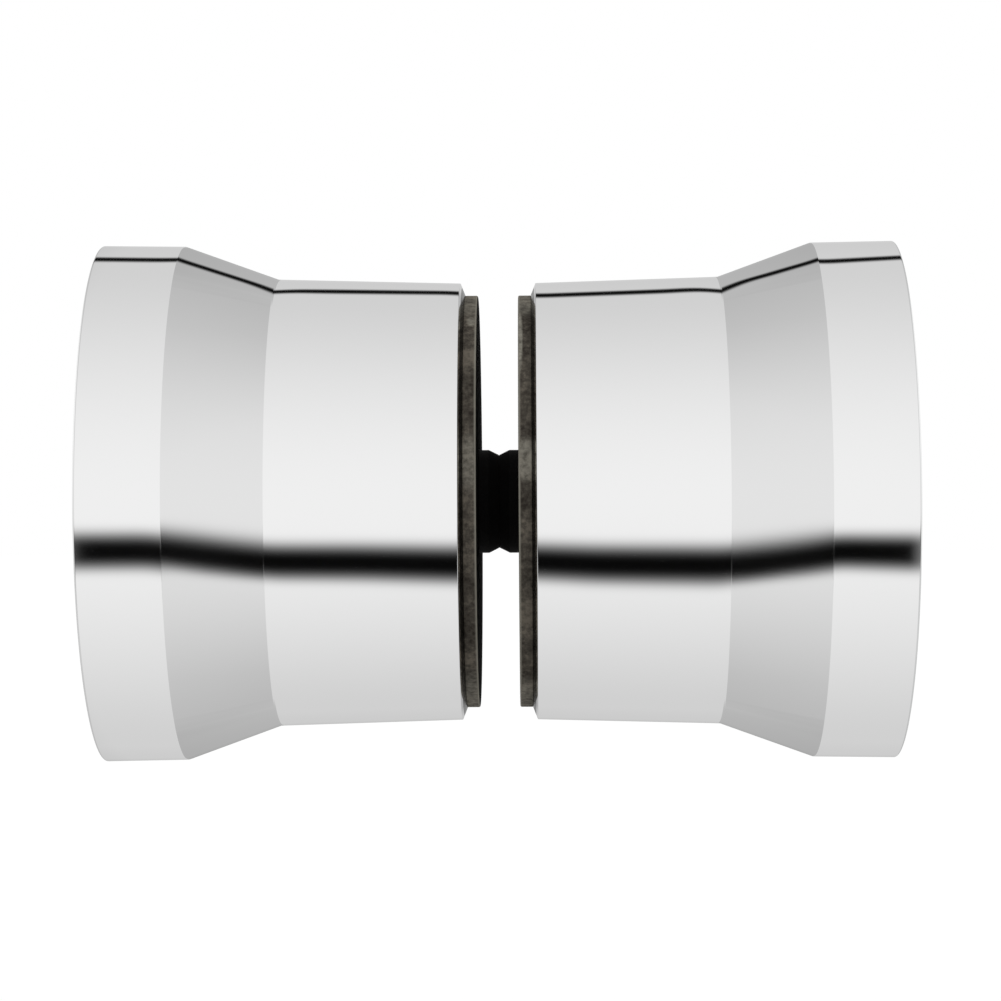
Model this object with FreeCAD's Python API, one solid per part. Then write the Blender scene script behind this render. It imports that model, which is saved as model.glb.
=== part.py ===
import FreeCAD, Part
import math
import os

# Back-to-back shower door knob. Two identical cast knobs clamp the glass from
# both sides. A stud joins them through the hole in the glass. Each knob bears
# on the glass through a flat gasket and is centred in the hole by a short sleeve.
# Frame: X is the common axis of the knobs, +Z is up, and the origin lies on the
# axis in the middle of the glass gap. All sizes are in millimetres and degrees.

# The gap for the glass, as assembled with no glass in it
glass_gap = 3.1

# Gasket, cut from rubber sheet
gasket_thickness = 1.0
gasket_inset = 0.05

# Stud, a length of M6 rod, shown at its major diameter
stud_diameter = 6.0
stud_length = 30.0
stud_end_chamfer = 0.7

# Sleeve round the stud, one to each knob, their tips meeting in mid gap
sleeve_clearance = 0.2
sleeve_wall = 0.8
sleeve_tip_height = 0.4
sleeve_tip_length = 0.8
sleeve_socket_depth = 1.0
sleeve_fit = 0.1

# Outside of the knob, from its seat on the gasket to its outer face
seat_chamfer_length = 0.35
seat_chamfer_height = 0.9
barrel_end_diameter = 33.86
barrel_length = 14.1
barrel_draft = 1.6
cone_length = 7.15
ring_length = 6.3
ring_diameter = 40.0
face_edge_chamfer = 0.15

# Inside of the knob, cored out from the glass side
rim_wall = 2.7
face_wall = 3.0
boss_wall = 1.9

# Ribs that tie the boss to the rim
rib_count = 4
rib_thickness = 2.0
rib_draft = 1.0
rib_setback = 1.5
first_rib_angle = 45.0

# Cored and tapped hole for the stud
thread_fit = 0.05
thread_runout = 2.0

# Places along the axis, on the right of the glass
glass_x = glass_gap / 2
seat_x = glass_x + gasket_thickness
barrel_x = seat_x + seat_chamfer_length
cone_x = barrel_x + barrel_length
ring_x = cone_x + cone_length
face_x = ring_x + ring_length
core_floor_x = face_x - face_wall
rib_top_x = seat_x + rib_setback
socket_floor_x = seat_x + sleeve_socket_depth
hole_end_x = stud_length / 2 + thread_runout

# Radii that follow from the sizes above
stud_radius = stud_diameter / 2
sleeve_bore_radius = stud_radius + sleeve_clearance
sleeve_radius = sleeve_bore_radius + sleeve_wall
socket_radius = sleeve_radius + sleeve_fit
boss_radius = socket_radius + boss_wall
hole_radius = stud_radius + thread_fit
barrel_end_radius = barrel_end_diameter / 2
rim_radius = barrel_end_radius - rim_wall
seat_radius = barrel_end_radius - seat_chamfer_height
gasket_radius = seat_radius - gasket_inset
ring_radius = ring_diameter / 2


def slope(angle, run):
    """Height gained over a run at an angle in degrees."""
    return run * math.tan(math.radians(angle))


def revolved(corners):
    """Solid turned about the X axis from a closed outline of corners (x, radius)."""
    places = [FreeCAD.Vector(x, 0, radius) for x, radius in corners]
    face = Part.Face(Part.makePolygon(places + places[:1]))
    return face.revolve(FreeCAD.Vector(0, 0, 0), FreeCAD.Vector(1, 0, 0), 360)


def knob_outside():
    """Barrel with draft towards the glass, cone and ring in one turned form."""
    cone_foot_radius = barrel_end_radius + slope(barrel_draft, barrel_length)
    return revolved([
        (seat_x, 0),
        (seat_x, seat_radius),
        (barrel_x, barrel_end_radius),
        (cone_x, cone_foot_radius),
        (ring_x, ring_radius),
        (face_x - face_edge_chamfer, ring_radius),
        (face_x, ring_radius - face_edge_chamfer),
        (face_x, 0),
    ])


def rib(angle):
    """One rib with draft on both sides, from the axis out into the rim wall."""
    top_half = rib_thickness / 2
    root_half = top_half + slope(rib_draft, core_floor_x - rib_top_x)
    section = Part.makePolygon([
        FreeCAD.Vector(rib_top_x, -top_half, 0),
        FreeCAD.Vector(rib_top_x, top_half, 0),
        FreeCAD.Vector(core_floor_x, root_half, 0),
        FreeCAD.Vector(core_floor_x, -root_half, 0),
        FreeCAD.Vector(rib_top_x, -top_half, 0),
    ])
    solid = Part.Face(section).extrude(FreeCAD.Vector(0, 0, barrel_end_radius))
    solid.rotate(FreeCAD.Vector(0, 0, 0), FreeCAD.Vector(1, 0, 0), angle)
    return solid


def knob_core():
    """The hollow round the boss, parted by the ribs."""
    core = revolved([
        (seat_x, boss_radius),
        (seat_x, rim_radius),
        (core_floor_x, rim_radius),
        (core_floor_x, boss_radius),
    ])
    ribs = [rib(first_rib_angle + 360 * index / rib_count) for index in range(rib_count)]
    return core.cut(ribs)


def stud_hole():
    """Socket for the sleeve, then the tapped hole with the flat end its core pin left."""
    return revolved([
        (seat_x, 0),
        (seat_x, socket_radius),
        (socket_floor_x, socket_radius),
        (socket_floor_x, hole_radius),
        (hole_end_x, hole_radius),
        (hole_end_x, 0),
    ])


def knob():
    """Right knob: the outside less its core and its stud hole."""
    return knob_outside().cut([knob_core(), stud_hole()])


def gasket():
    """Right gasket, a flat ring between the glass and the knob's seat."""
    return revolved([
        (glass_x, socket_radius),
        (glass_x, gasket_radius),
        (seat_x, gasket_radius),
        (seat_x, socket_radius),
    ])


def sleeve():
    """Right sleeve, from its socket to the middle of the gap, with a bevelled tip."""
    return revolved([
        (0, sleeve_bore_radius),
        (0, sleeve_radius - sleeve_tip_height),
        (sleeve_tip_length, sleeve_radius),
        (socket_floor_x, sleeve_radius),
        (socket_floor_x, sleeve_bore_radius),
    ])


def threaded_stud():
    """Plain bar at the thread's major diameter with chamfered ends."""
    end_x = stud_length / 2
    return revolved([
        (-end_x, 0),
        (-end_x, stud_radius - stud_end_chamfer),
        (-end_x + stud_end_chamfer, stud_radius),
        (end_x - stud_end_chamfer, stud_radius),
        (end_x, stud_radius - stud_end_chamfer),
        (end_x, 0),
    ])


def turned_round(shape):
    """The same piece on the left of the glass, facing the other way."""
    copy = shape.copy()
    copy.rotate(FreeCAD.Vector(0, 0, 0), FreeCAD.Vector(0, 0, 1), 180)
    return copy


def write_parts():
    """Write one file for each piece."""
    os.makedirs("parts", exist_ok=True)
    pieces = {"threaded_stud": threaded_stud()}
    for name, shape in (("knob", knob()), ("gasket", gasket()), ("sleeve", sleeve())):
        pieces["right_" + name] = shape
        pieces["left_" + name] = turned_round(shape)
    for name, shape in pieces.items():
        shape.exportStep("parts/" + name + ".step")


write_parts()
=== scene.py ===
import math

import bmesh
import bpy
import numpy as np
from mathutils import Matrix, Vector


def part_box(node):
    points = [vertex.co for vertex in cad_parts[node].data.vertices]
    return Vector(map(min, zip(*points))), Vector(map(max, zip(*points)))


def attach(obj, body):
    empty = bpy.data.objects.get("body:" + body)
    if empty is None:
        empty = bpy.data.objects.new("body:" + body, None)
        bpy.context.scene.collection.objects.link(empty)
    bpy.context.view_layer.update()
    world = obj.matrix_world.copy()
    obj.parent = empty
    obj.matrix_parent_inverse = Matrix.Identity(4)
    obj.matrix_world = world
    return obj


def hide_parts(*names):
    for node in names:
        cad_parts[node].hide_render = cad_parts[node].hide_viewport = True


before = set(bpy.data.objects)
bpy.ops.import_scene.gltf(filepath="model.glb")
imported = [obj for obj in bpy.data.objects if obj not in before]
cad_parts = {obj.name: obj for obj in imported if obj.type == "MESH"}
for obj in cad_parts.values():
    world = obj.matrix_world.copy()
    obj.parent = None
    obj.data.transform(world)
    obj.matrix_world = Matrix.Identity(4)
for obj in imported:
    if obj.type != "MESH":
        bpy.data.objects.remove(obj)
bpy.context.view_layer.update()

# Shower door knob pair, seen square from the side. The knobs' common axis is X, the viewer looks
# along +Y, and Z is up. Sizes are in millimetres and degrees, and a mesh is turned into metres
# when it is finished.

MILLIMETRE = 0.001


def cad_edge(node, axis, end):
    """Where a CAD node ends along an axis, in millimetres; end is 0 for low and 1 for high."""
    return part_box(node)[end]["xyz".index(axis)] / MILLIMETRE


def drafted(angle, run):
    """Height gained over a run at a draft angle."""
    return run * math.tan(math.radians(angle))


# Places and radii on the right of the glass, read from the frame
glass_x = cad_edge("right_gasket", "x", 0)
seat_x = cad_edge("right_knob", "x", 0)
face_x = cad_edge("right_knob", "x", 1)
socket_floor_x = cad_edge("right_sleeve", "x", 1)
stud_end_x = cad_edge("threaded_stud", "x", 1)
gasket_radius = cad_edge("right_gasket", "z", 1)
ring_radius = cad_edge("right_knob", "z", 1)
sleeve_radius = cad_edge("right_sleeve", "z", 1)
stud_radius = cad_edge("threaded_stud", "z", 1)

# Outside of the knob
gasket_inset = 0.05
seat_chamfer_height = 0.9
seat_chamfer_length = 0.35
# Share of the seat chamfer, from the seat, that carries the near-black painted shade of the gap
# beside the gasket
gap_shade_share = 0.65
barrel_length = 14.1
barrel_draft = 1.6
ring_length = 6.3
ring_draft = 0.8
edge_rounding = 0.05
crisp_rounding = 0.02
face_edge_rounding = 0.1

# Inside of the knob
sleeve_fit = 0.1
boss_wall = 1.9
rim_wall = 2.7
face_wall = 3.0
core_floor_rounding = 1.0
rib_setback = 1.5
rib_thickness = 2.0
rib_draft = 1.0
rib_count = 4
thread_runout = 2.0

# Places and radii of the knob that follow from these sizes
seat_radius = gasket_radius + gasket_inset
barrel_end_radius = seat_radius + seat_chamfer_height
barrel_x = seat_x + seat_chamfer_length
gap_shade_x = seat_x + gap_shade_share * seat_chamfer_length
cone_x = barrel_x + barrel_length
cone_foot_radius = barrel_end_radius + drafted(barrel_draft, cone_x - barrel_x)
ring_x = face_x - ring_length
ring_foot_radius = ring_radius - drafted(ring_draft, face_x - ring_x)
socket_radius = sleeve_radius + sleeve_fit
boss_radius = socket_radius + boss_wall
rim_radius = barrel_end_radius - rim_wall
core_floor_x = face_x - face_wall
rib_top_x = seat_x + rib_setback
hole_end_x = stud_end_x + thread_runout

# M6 thread: its pitch, the flats on crest and root as parts of the pitch, and how far the
# root of the stud and the crest of the tapped hole lie from the major radius
pitch = 1.0
crest_flat = 0.125
root_flat = 0.1667
stud_thread_depth = 0.613 * pitch
hole_thread_depth = 0.541 * pitch
thread_fit = 0.05
stud_end_chamfer = 0.7

# Gasket and sleeve
gasket_rounding = 0.12
sleeve_clearance = 0.2
sleeve_bore_radius = stud_radius + sleeve_clearance
sleeve_tip_height = 0.4
sleeve_tip_length = 0.8
sleeve_tip_rounding = 0.08

# Facets round a full turn, and along one rounded edge
OUTSIDE_SEGMENTS = 256
INSIDE_SEGMENTS = 128
THREAD_SEGMENTS = 96
ROUNDING_STEPS = 5

# Edges that bend by less than this are smooth
SMOOTH_BELOW = math.radians(32)

# A point with a smaller radius than this lies on the axis
ON_AXIS = 1e-6

# Nearer points than these become one: in a thread, in millimetres, and in a cut piece, which is
# in metres
WELD = 1e-4
SPECK = 0.0005 * MILLIMETRE


# Outlines and meshes

def rounded(corners):
    """Outline points from corners (x, radius, rounding). Each rounding gets a point half its
    size along both of its flanks, so that the straight stretches keep straight reflections."""
    places = [Vector((x, radius)) for x, radius, rounding in corners]
    points = []
    for index, (x, radius, rounding) in enumerate(corners):
        corner = places[index]
        if rounding == 0:
            points.append(corner)
            continue
        back = (places[index - 1] - corner).normalized()
        onward = (places[(index + 1) % len(places)] - corner).normalized()
        half_angle = back.angle(onward) / 2
        reach = rounding / math.tan(half_angle)
        flank = rounding / 2
        centre = corner + (back + onward).normalized() * (rounding / math.sin(half_angle))
        start = corner + back * reach - centre
        turn = -start.angle_signed(corner + onward * reach - centre)
        points.append(corner + back * (reach + flank))
        for step in range(ROUNDING_STEPS + 1):
            points.append(centre + Matrix.Rotation(turn * step / ROUNDING_STEPS, 2) @ start)
        points.append(corner + onward * (reach + flank))
    return points


def finished(form, name):
    """Object from a bmesh in millimetres, smooth except across its sharp edges."""
    bmesh.ops.recalc_face_normals(form, faces=form.faces)
    bmesh.ops.scale(form, vec=(MILLIMETRE,) * 3, verts=form.verts)
    mesh = bpy.data.meshes.new(name)
    form.to_mesh(mesh)
    form.free()
    mesh.shade_smooth()
    mesh.set_sharp_from_angle(angle=SMOOTH_BELOW)
    piece = bpy.data.objects.new(name, mesh)
    bpy.context.scene.collection.objects.link(piece)
    return piece


def turned(outline, segments, closed=False, unevenness=None):
    """Bmesh turned about X from outline points (x, radius). A closed outline makes a ring.
    Unevenness is a function of x, radius and angle that gives the radius at that place."""
    form = bmesh.new()
    rows = []
    for x, radius in outline:
        row = []
        for step in range(1 if radius < ON_AXIS else segments):
            angle = 2 * math.pi * step / segments
            here = unevenness(x, radius, angle) if unevenness else radius
            row.append(form.verts.new((x, here * math.cos(angle), here * math.sin(angle))))
        rows.append(row)
    pairs = list(zip(rows, rows[1:]))
    if closed:
        pairs.append((rows[-1], rows[0]))
    for near, far in pairs:
        for step in range(segments):
            after = (step + 1) % segments
            corners = [near[step % len(near)], near[after % len(near)],
                       far[after % len(far)], far[step % len(far)]]
            form.faces.new(dict.fromkeys(corners))
    return form


def cut(piece, cutters):
    """Cuts other objects out of a piece and deletes them, then closes up the specks that the
    cut leaves."""
    for cutter in cutters:
        boolean = piece.modifiers.new("cut", "BOOLEAN")
        boolean.operation = "DIFFERENCE"
        boolean.solver = "EXACT"
        boolean.object = cutter
    evaluated = piece.evaluated_get(bpy.context.evaluated_depsgraph_get())
    mesh = bpy.data.meshes.new_from_object(evaluated)
    form = bmesh.new()
    form.from_mesh(mesh)
    bmesh.ops.remove_doubles(form, verts=form.verts, dist=SPECK)
    bmesh.ops.dissolve_degenerate(form, edges=form.edges, dist=SPECK)
    form.to_mesh(mesh)
    form.free()
    mesh.set_sharp_from_angle(angle=SMOOTH_BELOW)
    piece.modifiers.clear()
    piece.data = mesh
    for cutter in cutters:
        bpy.data.objects.remove(cutter)
    return piece


def turned_round(piece, name):
    """The same piece on the left of the glass, turned half a turn about the vertical."""
    twin = bpy.data.objects.new(name, piece.data.copy())
    twin.data.transform(Matrix.Rotation(math.pi, 4, "Z"))
    bpy.context.scene.collection.objects.link(twin)
    return twin


def fitted(piece, node, material):
    """Gives a piece its material and puts it in the place of its CAD node."""
    piece.data.materials.clear()
    piece.data.materials.append(material)
    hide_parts(node)
    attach(piece, "root")


def thread(crest_radius, root_radius, low_x, high_x, end_radius, chamfer):
    """Bmesh of a right-hand thread with chamfered ends. Its rows follow the helix, so crests
    and roots have clean edges, and the rows past an end fold into that end."""
    rows_of_a_turn = [(-crest_flat / 2, crest_radius), (crest_flat / 2, crest_radius),
                      (0.5 - root_flat / 2, root_radius), (0.5 + root_flat / 2, root_radius)]
    # A start of a quarter turn lets the left knob, turned half round, take the same helix
    start = pitch / 4
    spare_turns = 3
    first_turn = math.floor(low_x / pitch) - spare_turns
    last_turn = math.ceil(high_x / pitch) + spare_turns
    form = bmesh.new()
    grid = []
    for turn in range(first_turn, last_turn):
        for phase, radius in rows_of_a_turn:
            row = []
            for column in range(THREAD_SEGMENTS + 1):
                along = column / THREAD_SEGMENTS
                x = min(max((turn + phase + along) * pitch + start, low_x), high_x)
                from_end = min(x - low_x, high_x - x)
                limit = end_radius + (crest_radius - end_radius) * min(from_end / chamfer, 1)
                here = min(radius, limit)
                angle = 2 * math.pi * along
                row.append(form.verts.new((x, here * math.cos(angle), here * math.sin(angle))))
            grid.append(row)
    for near, far in zip(grid, grid[1:]):
        for column in range(THREAD_SEGMENTS):
            form.faces.new((near[column], far[column], far[column + 1], near[column + 1]))
    bmesh.ops.remove_doubles(form, verts=form.verts, dist=WELD)
    bmesh.ops.holes_fill(form, edges=[edge for edge in form.edges if edge.is_boundary])
    return form


# Materials

def linear(hex_colour):
    """Linear colour from an sRGB hex value."""
    channels = [int(hex_colour[i:i + 2], 16) / 255 for i in (1, 3, 5)]
    return [c / 12.92 if c <= 0.04045 else ((c + 0.055) / 1.055) ** 2.4 for c in channels] + [1.0]


def add(tree, kind, inputs=None, **settings):
    """Adds a shader node with its settings. Its inputs are given a value or a socket to link."""
    node = tree.nodes.new("ShaderNode" + kind)
    for name, value in settings.items():
        setattr(node, name, value)
    for socket, value in (inputs or {}).items():
        if isinstance(value, bpy.types.NodeSocket):
            tree.links.new(value, node.inputs[socket])
        else:
            node.inputs[socket].default_value = value
    return node


def blank_material(name):
    """A material with an empty node tree, and that tree."""
    material = bpy.data.materials.new(name)
    material.use_nodes = True
    material.node_tree.nodes.clear()
    return material, material.node_tree


def scale_for(size):
    """Noise scale that gives features of a size in millimetres."""
    return 1 / (size * MILLIMETRE)


# Sockets of a Mix node that mixes colours, which share their names with its other sockets
MIX_FIRST = 6
MIX_SECOND = 7
MIX_RESULT = 2

CHROME_COLOUR = "#e8e8e8"


def chrome_plating():
    """Bright chrome plating on a buffed zinc casting. It mirrors the studio in neutral greys. The
    buffing leaves soft patches of haze, and the plating a faint orange peel."""
    haze_size = 9
    peel_size = 4
    peel_height = 0.0006
    material, tree = blank_material("chrome_plating")
    place = add(tree, "TexCoord").outputs["Object"]
    haze = add(tree, "TexNoise", {"Vector": place, "Scale": scale_for(haze_size), "Detail": 3})
    roughness = add(tree, "MapRange", {"Value": haze.outputs["Fac"], "From Min": 0.3,
                                       "From Max": 0.7, "To Min": 0.03, "To Max": 0.055})
    peel = add(tree, "TexNoise", {"Vector": place, "Scale": scale_for(peel_size), "Detail": 1})
    bump = add(tree, "Bump", {"Height": peel.outputs["Fac"],
                              "Distance": peel_height * MILLIMETRE})
    shader = add(tree, "BsdfPrincipled", {
        "Base Color": linear(CHROME_COLOUR), "Metallic": 1.0,
        "Roughness": roughness.outputs["Result"], "Normal": bump.outputs["Normal"]})
    add(tree, "OutputMaterial", {"Surface": shader.outputs["BSDF"]})
    return material


def painted_gap_shade():
    """Near-black smooth coat on the knob's seat and the inner part of its chamfer, a painted shade
    for the dark gap beside the gasket. It is smooth, so it shines only at a grazing view."""
    flow_size = 2
    material, tree = blank_material("painted_gap_shade")
    place = add(tree, "TexCoord").outputs["Object"]
    flow = add(tree, "TexNoise", {"Vector": place, "Scale": scale_for(flow_size), "Detail": 2})
    roughness = add(tree, "MapRange", {"Value": flow.outputs["Fac"], "To Min": 0.12,
                                       "To Max": 0.3})
    shader = add(tree, "BsdfPrincipled", {
        "Base Color": linear("#040403"), "Roughness": roughness.outputs["Result"], "IOR": 1.5,
        "Specular IOR Level": 0.3})
    add(tree, "OutputMaterial", {"Surface": shader.outputs["BSDF"]})
    return material


def spot(tree, place, centre, halves):
    """Mask that is 1 inside an ellipsoid, in millimetres, and fades to 0 towards its surface."""
    full_share = 0.6
    scale = [1 / (half * MILLIMETRE) for half in halves]
    offset = [-middle / half for middle, half in zip(centre, halves)]
    scaled = add(tree, "VectorMath", {0: place, 1: scale, 2: offset}, operation="MULTIPLY_ADD")
    away = add(tree, "VectorMath", {0: scaled.outputs["Vector"]}, operation="LENGTH")
    return add(tree, "MapRange", {"Value": away.outputs["Value"], "From Min": 1.0,
                                  "From Max": full_share}).outputs["Result"]


# Pale marks on the rims of the gaskets: centre, half sizes and strength. First a long scuff on
# the right one, a scuff on each at the height of the sleeves, and the crumb on the left one,
# then the paler stretches near the top and the bottom of both, which are painted light
RUBBER_SCUFFS_AND_PAINTED_LIGHT = [
    ((glass_x + 0.1, -10.5, 12.3), (0.3, 6, 3.6), 0.9),
    ((glass_x + 0.5, -15.7, 3.1), (0.9, 2, 1.9), 0.65),
    ((-glass_x - 0.5, -15.7, 2.9), (0.9, 2, 2.4), 0.45),
    ((-glass_x - 0.42, -8.2, 13.5), (0.4, 1.5, 0.55), 0.55),
    # Painted light: paler stretches near the top and the bottom of both rims
    ((glass_x + 0.5, -4, 16), (1.5, 9, 2.6), 0.5),
    ((-glass_x - 0.5, -4, 16), (1.5, 9, 2.6), 0.4),
    ((glass_x + 0.5, -4, -15.5), (1.5, 9, 3), 0.45),
    ((-glass_x - 0.5, -4, -15.5), (1.5, 9, 4.5), 0.5),
]


def rubber_sheet():
    """Calendered rubber sheet with a die-cut edge. The faces are nearly black, and the rim is a
    mottled grey-brown with a few pale scuffs and a crumb of rubber on the left one. Along the
    glass side the rim is lighter, a painted highlight, and its paler stretches near the top and
    the bottom are painted light."""
    cloud_size = 3
    speckle_size = 0.45
    # Width of the painted highlight along the glass side of the rim
    highlight_width = 0.2
    # The real grain is too fine to show, so it is drawn coarser
    grain_size = 0.25
    grain_depth = 0.03
    material, tree = blank_material("rubber_sheet")
    coordinates = add(tree, "TexCoord")
    place = coordinates.outputs["Object"]
    clouds = add(tree, "TexNoise", {"Vector": place, "Scale": scale_for(cloud_size), "Detail": 1})
    speckle = add(tree, "TexNoise", {"Vector": place, "Scale": scale_for(speckle_size),
                                     "Detail": 3, "Roughness": 0.7})
    both = add(tree, "Math", {0: clouds.outputs["Fac"], 1: speckle.outputs["Fac"]})
    mottle = add(tree, "Math", {0: both.outputs["Value"], 1: 0.5}, operation="MULTIPLY")
    rim_colour = add(tree, "ValToRGB", {"Fac": mottle.outputs["Value"]})
    stops = rim_colour.color_ramp.elements
    stops.new(0.5)
    for stop, place_on_ramp, tone in zip(stops, (0.38, 0.5, 0.62),
                                         ("#2b2723", "#44403a", "#605a51")):
        stop.position, stop.color = place_on_ramp, linear(tone)
    along = add(tree, "SeparateXYZ", {"Vector": place})
    # The rim is lighter along its glass side, a painted highlight of its rounded edge. The marks
    # below add their scuffs and their painted light to it
    from_glass = add(tree, "Math", {0: along.outputs["X"]}, operation="ABSOLUTE")
    scuffs_and_painted_light = add(tree, "MapRange", {"Value": from_glass.outputs["Value"],
                                  "From Min": (glass_x + highlight_width) * MILLIMETRE,
                                  "From Max": glass_x * MILLIMETRE}).outputs["Result"]
    for centre, halves, strength in RUBBER_SCUFFS_AND_PAINTED_LIGHT:
        patches = add(tree, "MapRange", {"Value": speckle.outputs["Fac"], "From Min": 0.3,
                                         "From Max": 0.65, "To Min": 0.3 * strength,
                                         "To Max": strength})
        patchy = add(tree, "Math", {0: spot(tree, place, centre, halves),
                                    1: patches.outputs["Result"]}, operation="MULTIPLY")
        scuffs_and_painted_light = add(tree, "Math", {0: scuffs_and_painted_light, 1: patchy.outputs["Value"]},
                   operation="MAXIMUM").outputs["Value"]
    # Pale colour of the scuffs, of the painted highlight and of the painted light on the rim
    rim_scuffs_and_light = add(tree, "Mix", {"Factor": scuffs_and_painted_light, MIX_FIRST: rim_colour.outputs["Color"],
                                 MIX_SECOND: linear("#87847a")}, data_type="RGBA")
    facing = add(tree, "SeparateXYZ", {"Vector": coordinates.outputs["Normal"]})
    sideways = add(tree, "Math", {0: facing.outputs["X"]}, operation="ABSOLUTE")
    on_face = add(tree, "MapRange", {"Value": sideways.outputs["Value"], "From Min": 0.75,
                                     "From Max": 0.98})
    colour = add(tree, "Mix", {"Factor": on_face.outputs["Result"],
                               MIX_FIRST: rim_scuffs_and_light.outputs[MIX_RESULT],
                               MIX_SECOND: linear("#0e0d0b")}, data_type="RGBA")
    grain = add(tree, "TexNoise", {"Vector": place, "Scale": scale_for(grain_size), "Detail": 3})
    bump = add(tree, "Bump", {"Height": grain.outputs["Fac"], "Strength": 0.6,
                              "Distance": grain_depth * MILLIMETRE})
    shader = add(tree, "BsdfPrincipled", {
        "Base Color": colour.outputs[MIX_RESULT], "Roughness": 0.9, "IOR": 1.52,
        "Specular IOR Level": 0.02, "Normal": bump.outputs["Normal"]})
    add(tree, "OutputMaterial", {"Surface": shader.outputs["BSDF"]})
    return material


def moulded_nylon():
    """Black nylon as it comes from the mould: nearly black, with the mould's fine spark-eroded
    grain that breaks its sheen."""
    # The real grain is too fine to show, so it is drawn coarser
    grain_size = 0.2
    grain_depth = 0.02
    tone_size = 2
    material, tree = blank_material("moulded_nylon")
    place = add(tree, "TexCoord").outputs["Object"]
    grain = add(tree, "TexNoise", {"Vector": place, "Scale": scale_for(grain_size), "Detail": 4})
    roughness = add(tree, "MapRange", {"Value": grain.outputs["Fac"], "To Min": 0.6,
                                       "To Max": 0.85})
    tone = add(tree, "TexNoise", {"Vector": place, "Scale": scale_for(tone_size), "Detail": 2})
    colour = add(tree, "Mix", {"Factor": tone.outputs["Fac"], MIX_FIRST: linear("#050404"),
                               MIX_SECOND: linear("#090706")}, data_type="RGBA")
    bump = add(tree, "Bump", {"Height": grain.outputs["Fac"], "Strength": 0.5,
                              "Distance": grain_depth * MILLIMETRE})
    shader = add(tree, "BsdfPrincipled", {
        "Base Color": colour.outputs[MIX_RESULT], "Roughness": roughness.outputs["Result"],
        "IOR": 1.53, "Specular IOR Level": 0.15, "Normal": bump.outputs["Normal"]})
    add(tree, "OutputMaterial", {"Surface": shader.outputs["BSDF"]})
    return material


def zinc_plated_steel():
    """Rolled steel stud with a thin bright zinc plating, a little blue, with cloudy patches."""
    cloud_size = 1.5
    material, tree = blank_material("zinc_plated_steel")
    place = add(tree, "TexCoord").outputs["Object"]
    cloud = add(tree, "TexNoise", {"Vector": place, "Scale": scale_for(cloud_size), "Detail": 4})
    colour = add(tree, "Mix", {"Factor": cloud.outputs["Fac"], MIX_FIRST: linear("#b4b8bb"),
                               MIX_SECOND: linear("#c6c9ca")}, data_type="RGBA")
    roughness = add(tree, "MapRange", {"Value": cloud.outputs["Fac"], "To Min": 0.25,
                                       "To Max": 0.42})
    shader = add(tree, "BsdfPrincipled", {
        "Base Color": colour.outputs[MIX_RESULT], "Metallic": 1.0,
        "Roughness": roughness.outputs["Result"]})
    add(tree, "OutputMaterial", {"Surface": shader.outputs["BSDF"]})
    return material


# Knobs

def knob_outside():
    """Seat, barrel with draft towards the glass, cone, ring and outer face."""
    outline = rounded([
        (socket_floor_x, 0, 0),
        (socket_floor_x, socket_radius, 0),
        (seat_x, socket_radius, edge_rounding),
        (seat_x, seat_radius, edge_rounding),
        (gap_shade_x, seat_radius + gap_shade_share * seat_chamfer_height, 0),
        (barrel_x, barrel_end_radius, edge_rounding),
        (cone_x, cone_foot_radius, crisp_rounding),
        (ring_x, ring_foot_radius, crisp_rounding),
        (face_x, ring_radius, face_edge_rounding),
        (face_x, 0, 0),
    ])
    return finished(turned(outline, OUTSIDE_SEGMENTS), "right_knob_casting")


def rib(angle):
    """One rib of the core, with draft on both sides and with ends outside the hollow."""
    past = 1.0
    top = rib_thickness / 2
    root = top + drafted(rib_draft, core_floor_x - rib_top_x)
    section = [(rib_top_x, -top), (rib_top_x, top), (core_floor_x, root),
               (core_floor_x + past, root), (core_floor_x + past, -root), (core_floor_x, -root)]
    form = bmesh.new()
    inner, outer = [[form.verts.new((x, y, radius)) for x, y in section]
                    for radius in (socket_radius, barrel_end_radius)]
    form.faces.new(inner)
    form.faces.new(outer)
    for index in range(len(section)):
        form.faces.new((inner[index - 1], inner[index], outer[index], outer[index - 1]))
    bmesh.ops.rotate(form, verts=form.verts, matrix=Matrix.Rotation(angle, 3, "X"))
    return finished(form, "rib")


def knob_core():
    """The hollow round the boss, parted by the ribs, with rounded corners at its floor."""
    past = 0.5
    outline = rounded([
        (seat_x - past, boss_radius, 0),
        (seat_x - past, rim_radius, 0),
        (core_floor_x, rim_radius, core_floor_rounding),
        (core_floor_x, boss_radius, core_floor_rounding),
    ])
    core = finished(turned(outline, INSIDE_SEGMENTS, closed=True), "core")
    spacing = 2 * math.pi / rib_count
    return cut(core, [rib((index + 0.5) * spacing) for index in range(rib_count)])


def tapped_hole():
    """Cutter for the stud's hole: the stud's own thread with a little clearance."""
    past = 0.5
    end_chamfer = 0.3
    major_radius = stud_radius + thread_fit
    minor_radius = major_radius - hole_thread_depth
    form = thread(major_radius, minor_radius, socket_floor_x - past, hole_end_x, minor_radius,
                  end_chamfer)
    return finished(form, "tapped_hole")


def make_knobs(chrome, shade_coat):
    """Both knobs, in chrome except on the seat and the inner part of its chamfer, which carry
    the near-black painted shade of the gap beside the gasket.
    """
    right = cut(knob_outside(), [knob_core(), tapped_hole()])
    left = turned_round(right, "left_knob_casting")
    for piece, node in ((right, "right_knob"), (left, "left_knob")):
        fitted(piece, node, chrome)
        piece.data.materials.append(shade_coat)
        # Faces nearer the glass than that line on the chamfer take the near-black painted shade
        for face in piece.data.polygons:
            face.material_index = int(abs(face.center.x) < gap_shade_x * MILLIMETRE)


# Gaskets, sleeves and stud

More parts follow.
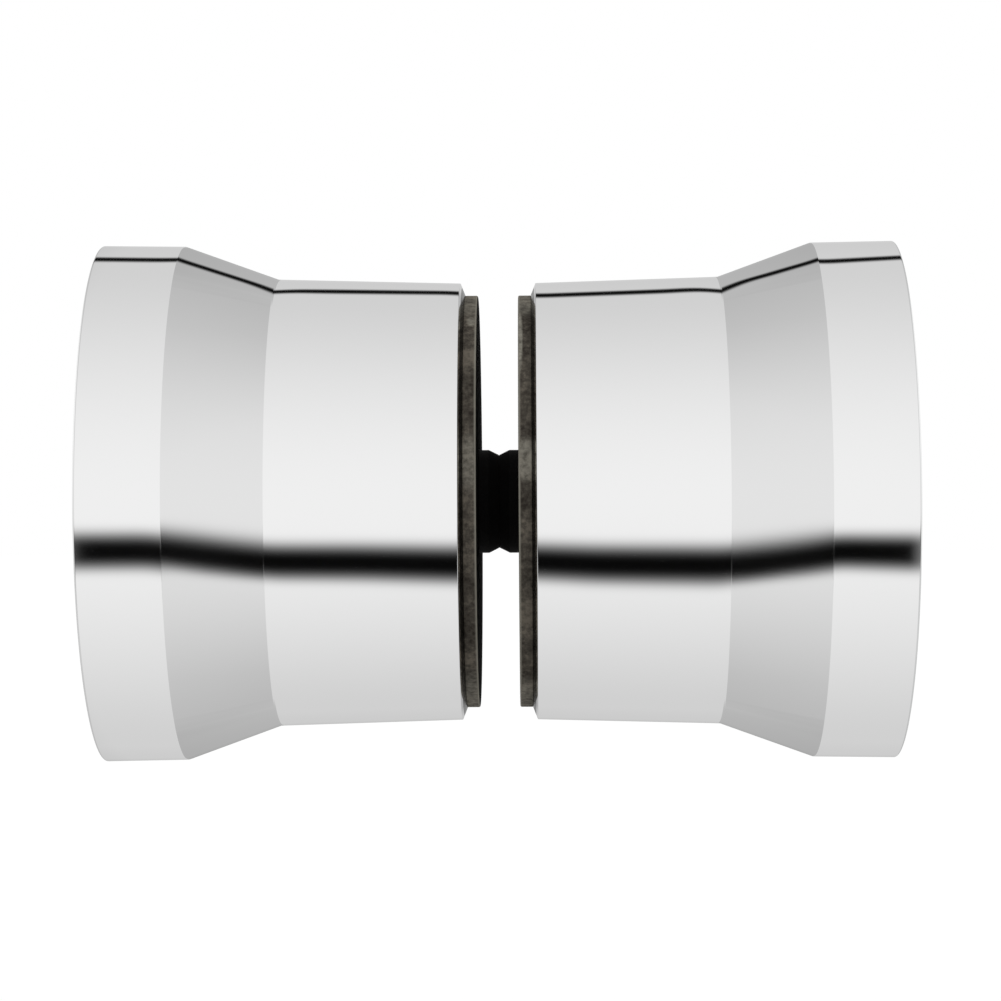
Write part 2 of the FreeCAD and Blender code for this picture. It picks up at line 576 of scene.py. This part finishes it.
def gasket(name, nick_angle):
    """Rubber ring. The die leaves its rim slightly uneven, with one small nick."""
    die_drift = 0.02
    nick_depth = 0.16
    nick_width = math.radians(1.6)

    def uneven(x, radius, angle):
        """Radius at an angle: slow waves round the rim, and the nick on its glass side."""
        if radius < (gasket_radius + socket_radius) / 2:
            return radius
        drift = die_drift * (1 + 0.5 * math.sin(3 * angle) + 0.5 * math.sin(7 * angle + 2))
        from_nick = (angle - nick_angle + math.pi) % (2 * math.pi) - math.pi
        glass_side = (seat_x - x) / (seat_x - glass_x)
        nick = nick_depth * glass_side * math.exp(-(from_nick / nick_width) ** 2)
        return radius - drift / 2 - nick

    outline = rounded([
        (glass_x, socket_radius, gasket_rounding),
        (glass_x, gasket_radius, gasket_rounding),
        (seat_x, gasket_radius, gasket_rounding / 2),
        (seat_x, socket_radius, gasket_rounding / 2),
    ])
    return finished(turned(outline, OUTSIDE_SEGMENTS, closed=True, unevenness=uneven), name)


def make_gaskets(rubber):
    """Both gaskets, each with its own nick. The left one's shows from the front, above the
    sleeves. Turning the gasket round carries an angle over to its supplement."""
    left_nick = math.radians(119)
    right_nick = math.radians(205)
    left = turned_round(gasket("left_gasket_source", math.pi - left_nick), "left_gasket_sheet")
    bpy.data.objects.remove(bpy.data.objects["left_gasket_source"])
    right = gasket("right_gasket_sheet", right_nick)
    fitted(left, "left_gasket", rubber)
    fitted(right, "right_gasket", rubber)


def make_sleeves(nylon):
    """Both sleeve halves, which meet at their bevelled tips."""
    outline = rounded([
        (0, sleeve_bore_radius, 0),
        (0, sleeve_radius - sleeve_tip_height, sleeve_tip_rounding),
        (sleeve_tip_length, sleeve_radius, sleeve_tip_rounding),
        (socket_floor_x, sleeve_radius, sleeve_tip_rounding),
        (socket_floor_x, sleeve_bore_radius, 0),
    ])
    right = finished(turned(outline, INSIDE_SEGMENTS, closed=True), "right_sleeve_moulding")
    left = turned_round(right, "left_sleeve_moulding")
    fitted(right, "right_sleeve", nylon)
    fitted(left, "left_sleeve", nylon)


def make_stud(steel):
    """The stud, with its thread."""
    form = thread(stud_radius, stud_radius - stud_thread_depth, -stud_end_x, stud_end_x,
                  stud_radius - stud_end_chamfer, stud_end_chamfer)
    fitted(finished(form, "m6_stud"), "threaded_stud", steel)


# Studio. Chrome is lit by what it mirrors: a pale tent all round, a wide dark card low in
# front, which gives the broad band, a thin dark card over the knobs, which gives the line
# near the top, and faint grey shades close above and below each cone. Only mirror reflections
# see them. A place in the studio is given by its x, by its radius from the knobs' axis and by
# its height angle, which is 0 towards the camera, 90 straight up and 180 behind.

# The tent is a cylinder round the axis, closed by an end wall on each side
TENT_RADIUS = 600
TENT_END_X = 700

# Mesh of the tent: step along its side wall, segments round it, and the rings in its end walls
# as shares of its radius
TENT_STEP = 10
TENT_SEGMENTS = 180
TENT_END_RINGS = (0, 0.04, 0.08, 0.12, 0.16, 0.2, 0.3, 0.5, 0.8)

# Brightness of the tent's side wall at its middle: behind the knobs, where it then loses some,
# what it gains towards the camera, and how closely that gain keeps to the camera's side
WALL_LEVEL = 0.6
WALL_GAIN = 0.263
WALL_FOCUS = 3.2

# What the side wall loses behind the knobs, which darkens their lower edge: height angle and
# amount
WALL_BACK = [(-180, 0.14), (-168, 0.14), (-158, 0.06), (-135, 0), (135, 0), (160, 0.06),
             (168, 0.06), (180, 0.14)]

# Brightness of the side wall beside its middle: distance along the axis and share
WALL_FALL_OFF = [(100, 1.0), (130, 0.765), (210, 0.785), (350, 0.885), (400, 0.885)]

# Brightness of the tent's end walls: at the axis, what it gains upwards and loses downwards,
# what it loses backwards and gains forwards, and the distance over which it does
END_LEVEL = 0.75
END_RISE = 0.2
END_FALL = 0.08
END_SPREAD = 250

# Distances along the axis between which the side wall's brightness turns into the end wall's
END_BLEND = (420, 600)

# The two cards: their radius, and the length over which they fade at their ends
WIDE_CARD_RADIUS = 180
WIDE_CARD_END_FADE = 8
THIN_CARD_RADIUS = 28
THIN_CARD_END_FADE = 4

# Mesh of a card: rows in the length of its end fade, columns across it, and how many half-widths
# these reach to each side of its middle
CARD_FADE_ROWS = 8
CARD_COLUMNS = 33
CARD_REACH = 1.9

# How many rows to each side a card's stations are smoothed over, and the samples taken there
CARD_SMOOTHING = 1.5
CARD_SAMPLES = 9

# Stations of the two cards: x, height angle of the middle and half of the width, in degrees
WIDE_CARD = [
    (-112, -51, 16.5), (-102, -41.4, 15.4), (-92, -33.2, 13.3), (-84, -26, 10.7),
    (-76, -19.8, 9.3), (-60, -19.3, 7.4), (-39.5, -19.4, 7.3), (-21, -28.4, 8.5),
    (-9.9, -29.3, 8.8), (-5, -30, 9), (1.8, -31, 9.3), (7, -31.2, 9.4), (17.6, -31.5, 9.5),
    (35, -21.2, 6.8), (46.2, -22.1, 7.3), (60, -20.5, 8), (76, -19.2, 9.2), (85.2, -26.4, 11.5),
    (102, -41.1, 15.6), (112, -50.5, 17),
]
THIN_CARD = [
    (-37, 96.4, 2.5), (-27, 96.2, 2.5), (-22.3, 97.6, 2.3), (-17.3, 103, 2.6), (-16.2, 104.2, 2.8),
    (-13.5, 104.8, 3.1), (-8.6, 106, 3.2), (-3.8, 107.2, 3.2), (3.2, 102.4, 2.9), (13, 102.2, 2.9),
    (15, 102.8, 2.9), (16.2, 102.2, 2.7), (17.7, 99.2, 2.5), (21.3, 93.7, 2), (25.6, 90.1, 2.1),
    (37, 94.4, 2.1),
]

# Share of the darkness along each card: x and share. The wide card thins where it gives the
# band's ends at the outer faces, which softens them, and the thin card nowhere
WIDE_CARD_SHARES = [(-54, 1), (-50, 0.85), (-49, 0.92), (-48, 0.995), (-47, 1), (44, 1),
                    (45, 0.89), (46, 0.64), (48, 0.64), (54, 1)]
THIN_CARD_SHARES = [(0, 1)]

# Shades above and below the cones: height angle, up or down, and darkness
CONE_SHADE = [(56, 0), (58, 0.1), (60, 0.205), (62, 0.265), (64, 0.28), (108, 0.28), (128, 0)]

# The turn of each side's shades and their share of that darkness, at the cone's foot and at the
# ring
SHADE_TURNS = {"left": (3.1, -1.6), "right": (4.8, -0.3)}
SHADE_SHARES = (0.87, 1.1)

# How far off its cone a shade lies, and the step of its mesh in height angle
SHADE_GAP = 0.2
SHADE_STEP = 2


def reflected_only(panel, values, attribute, material):
    """Makes a studio panel that only mirror reflections see, with a value at each vertex."""
    panel.data.attributes.new(attribute, "FLOAT", "POINT").data.foreach_set("value", values)
    panel.data.materials.append(material)
    panel.visible_camera = False
    panel.visible_diffuse = False
    panel.visible_transmission = False
    panel.visible_volume_scatter = False
    panel.visible_shadow = False


def tent_level(place):
    """Brightness that the chrome shows when it mirrors this place on the tent."""
    x, y, z = place
    height_angle = math.atan2(z, -y)
    wall = WALL_LEVEL + WALL_GAIN * math.cos(height_angle / 2) ** WALL_FOCUS
    wall -= np.interp(math.degrees(height_angle), *zip(*WALL_BACK))
    wall *= np.interp(abs(x), *zip(*WALL_FALL_OFF))
    end = END_LEVEL + END_RISE * math.tanh(z / END_SPREAD) - END_FALL * math.tanh(y / END_SPREAD)
    return np.interp(abs(x), END_BLEND, (wall, end))


def make_tent():
    """Closed tent of glowing cloth round the camera and the knobs."""
    material, tree = blank_material("tent_cloth")
    level = add(tree, "Attribute", attribute_name="level")
    glow = add(tree, "Emission", {"Strength": level.outputs["Fac"]})
    add(tree, "OutputMaterial", {"Surface": glow.outputs["Emission"]})
    material.cycles.emission_sampling = "NONE"
    wall = [(x, TENT_RADIUS) for x in range(-TENT_END_X, TENT_END_X + TENT_STEP, TENT_STEP)]
    end = [TENT_RADIUS * share for share in TENT_END_RINGS]
    outline = [(-TENT_END_X, radius) for radius in end] + wall
    outline += [(TENT_END_X, radius) for radius in reversed(end)]
    tent = finished(turned(outline, TENT_SEGMENTS), "light_tent")
    chrome_share = linear(CHROME_COLOUR)[0]
    levels = [tent_level(vertex.co / MILLIMETRE) / chrome_share for vertex in tent.data.vertices]
    reflected_only(tent, levels, "level", material)


def make_panel(name, rows, material):
    """Panel through rows of places (x, radius, height angle in degrees), each with its
    darkness."""
    form = bmesh.new()
    grid = []
    for row in rows:
        places = [(x, radius, math.radians(angle)) for x, radius, angle, darkness in row]
        grid.append([form.verts.new((x, -radius * math.cos(angle), radius * math.sin(angle)))
                     for x, radius, angle in places])
    for near, far in zip(grid, grid[1:]):
        for index in range(len(near) - 1):
            form.faces.new((near[index], near[index + 1], far[index + 1], far[index]))
    darkness = [place[3] for row in rows for place in row]
    reflected_only(finished(form, name), darkness, "darkness", material)


def edge_fade(across):
    """Share of a card's darkness at a distance from its middle, in half-widths."""
    reach, steepness = 1.125, 3.9
    return math.exp(-(abs(across) / reach) ** steepness)


def make_card(name, stations, shares, radius, end_fade, material):
    """Curved card round the axis, soft along its edges and ends, that follows its stations."""
    xs, middles, halves = zip(*stations)
    step = end_fade / CARD_FADE_ROWS
    rows = []
    for x in np.arange(xs[0], xs[-1] + step / 2, step):
        near = np.linspace(x - CARD_SMOOTHING * step, x + CARD_SMOOTHING * step, CARD_SAMPLES)
        middle = np.interp(near, xs, middles).mean()
        half = np.interp(near, xs, halves).mean()
        dark = max(0, min(1, (x - xs[0]) / end_fade, (xs[-1] - x) / end_fade))
        dark *= np.interp(x, *zip(*shares))
        rows.append([(x, radius, middle + t * half, dark * edge_fade(t))
                     for t in np.linspace(-CARD_REACH, CARD_REACH, CARD_COLUMNS)])
    make_panel(name, rows, material)


def make_cone_shades(material):
    """Shades that hug the cones, above and below, and end where the cones end."""
    end_xs = (cone_x - SHADE_GAP / 2, ring_x)
    end_radii = (cone_foot_radius, ring_foot_radius)
    for side, side_name in ((-1, "left"), (1, "right")):
        ends = list(zip(end_xs, end_radii, SHADE_TURNS[side_name], SHADE_SHARES))
        for way, way_name in ((1, "top"), (-1, "bottom")):
            rows = []
            for angle in np.arange(CONE_SHADE[0][0], CONE_SHADE[-1][0] + 1, SHADE_STEP):
                dark = np.interp(angle, *zip(*CONE_SHADE))
                rows.append([(side * x, radius + SHADE_GAP, way * (angle + turn), share * dark)
                             for x, radius, turn, share in ends])
            make_panel(side_name + "_" + way_name + "_shade", rows, material)


def make_cards():
    """The two cards and the shades, dark where their attribute says and clear elsewhere."""
    material, tree = blank_material("dark_card")
    darkness = add(tree, "Attribute", attribute_name="darkness")
    clear = add(tree, "BsdfTransparent")
    dark = add(tree, "Emission", {"Color": linear("#0b0b0b")})
    shader = add(tree, "MixShader", {0: darkness.outputs["Fac"], 1: clear.outputs["BSDF"],
                                     2: dark.outputs["Emission"]})
    add(tree, "OutputMaterial", {"Surface": shader.outputs["Shader"]})
    material.cycles.emission_sampling = "NONE"
    make_card("wide_card", WIDE_CARD, WIDE_CARD_SHARES, WIDE_CARD_RADIUS, WIDE_CARD_END_FADE,
              material)
    make_card("thin_card", THIN_CARD, THIN_CARD_SHARES, THIN_CARD_RADIUS, THIN_CARD_END_FADE,
              material)
    make_cone_shades(material)


# Light from the room, and from the lamp where it falls square on. A surface that gets 1 shows
# its own colour
ROOM_LIGHT = 0.7
LAMP_LIGHT = 0.4

# How wide the lamp looks from the knobs, and how far it stands from straight above: towards the
# camera, and to the right
LAMP_WIDTH = 50
LAMP_TILT = 32
LAMP_TURN = -8


def make_world():
    """White to the camera and to mirrors, and a soft room light for everything else."""
    world = bpy.data.worlds.new("white_studio")
    bpy.context.scene.world = world
    world.use_nodes = True
    tree = world.node_tree
    tree.nodes.clear()
    path = add(tree, "LightPath")
    seen = add(tree, "Math", {0: path.outputs["Is Camera Ray"], 1: path.outputs["Is Glossy Ray"]},
               operation="MAXIMUM")
    seen = add(tree, "Math", {0: seen.outputs["Value"],
                              1: path.outputs["Is Transmission Ray"]}, operation="MAXIMUM")
    strength = add(tree, "MapRange", {"Value": seen.outputs["Value"], "To Min": ROOM_LIGHT,
                                      "To Max": 1.0})
    sky = add(tree, "Background", {"Color": linear("#ffffff"),
                                   "Strength": strength.outputs["Result"]})
    add(tree, "OutputWorld", {"Surface": sky.outputs["Background"]})


def make_lamp():
    """One soft overhead light. A sun's strength of pi gives a surface its own colour."""
    lamp = bpy.data.lights.new("soft_light", "SUN")
    lamp.energy = LAMP_LIGHT * math.pi
    lamp.angle = math.radians(LAMP_WIDTH)
    holder = bpy.data.objects.new("soft_light", lamp)
    holder.rotation_euler = (math.radians(LAMP_TILT), math.radians(LAMP_TURN), 0)
    holder.visible_glossy = False
    bpy.context.scene.collection.objects.link(holder)


# Floor: its height, its size, its grey, and how bright the camera sees it, a hair over white
FLOOR_Z = -70
FLOOR_SIZE = 8000
FLOOR_GREY = 0.8
FLOOR_SEEN = 1.0104


def make_floor():
    """Pale floor that looks white to the camera except in the object's soft shadow. It is clear
    from below, so that a view from there shows the object."""
    material, tree = blank_material("pale_floor")
    path = add(tree, "LightPath")
    lamp_share = math.cos(math.radians(LAMP_TILT)) * math.cos(math.radians(LAMP_TURN))
    lit = FLOOR_GREY * (ROOM_LIGHT + LAMP_LIGHT * lamp_share)
    lift = add(tree, "Math", {0: path.outputs["Is Camera Ray"], 1: FLOOR_SEEN - lit},
               operation="MULTIPLY")
    glow = add(tree, "Emission", {"Strength": lift.outputs["Value"]})
    matt = add(tree, "BsdfDiffuse", {"Color": (FLOOR_GREY, FLOOR_GREY, FLOOR_GREY, 1)})
    both = add(tree, "AddShader", {0: glow.outputs["Emission"], 1: matt.outputs["BSDF"]})
    side = add(tree, "NewGeometry")
    clear = add(tree, "BsdfTransparent")
    one_sided = add(tree, "MixShader", {0: side.outputs["Backfacing"], 1: both.outputs["Shader"],
                                        2: clear.outputs["BSDF"]})
    add(tree, "OutputMaterial", {"Surface": one_sided.outputs["Shader"]})
    form = bmesh.new()
    bmesh.ops.create_grid(form, x_segments=1, y_segments=1, size=FLOOR_SIZE / 2,
                          matrix=Matrix.Translation((0, 0, FLOOR_Z)))
    floor = finished(form, "pale_floor")
    floor.data.materials.append(material)
    floor.visible_glossy = False


def make_camera():
    """Level camera square to the axis, a touch to the right, with the photo's slight turn."""
    distance = 250.86
    # Turns in radians, and shifts across the picture
    yaw = -0.0096
    roll = 0.006
    across = -0.085
    up = -0.067
    camera = bpy.data.cameras.new("camera")
    camera.sensor_width = 36
    camera.lens = 115.95
    camera.clip_start = 0.01
    camera.clip_end = 10
    holder = bpy.data.objects.new("camera", camera)
    place = Matrix.Translation(Vector((-across, -up, distance)) * MILLIMETRE)
    turn = Matrix.Rotation(-yaw, 4, "Y") @ Matrix.Rotation(-roll, 4, "Z")
    holder.matrix_world = Matrix.Rotation(math.pi / 2, 4, "X") @ turn @ place
    bpy.context.scene.collection.objects.link(holder)
    bpy.context.scene.camera = holder
    bpy.context.scene.view_settings.view_transform = "Standard"


make_camera()
make_world()
make_lamp()
make_floor()
make_tent()
make_cards()
make_knobs(chrome_plating(), painted_gap_shade())
make_gaskets(rubber_sheet())
make_sleeves(moulded_nylon())
make_stud(zinc_plated_steel())
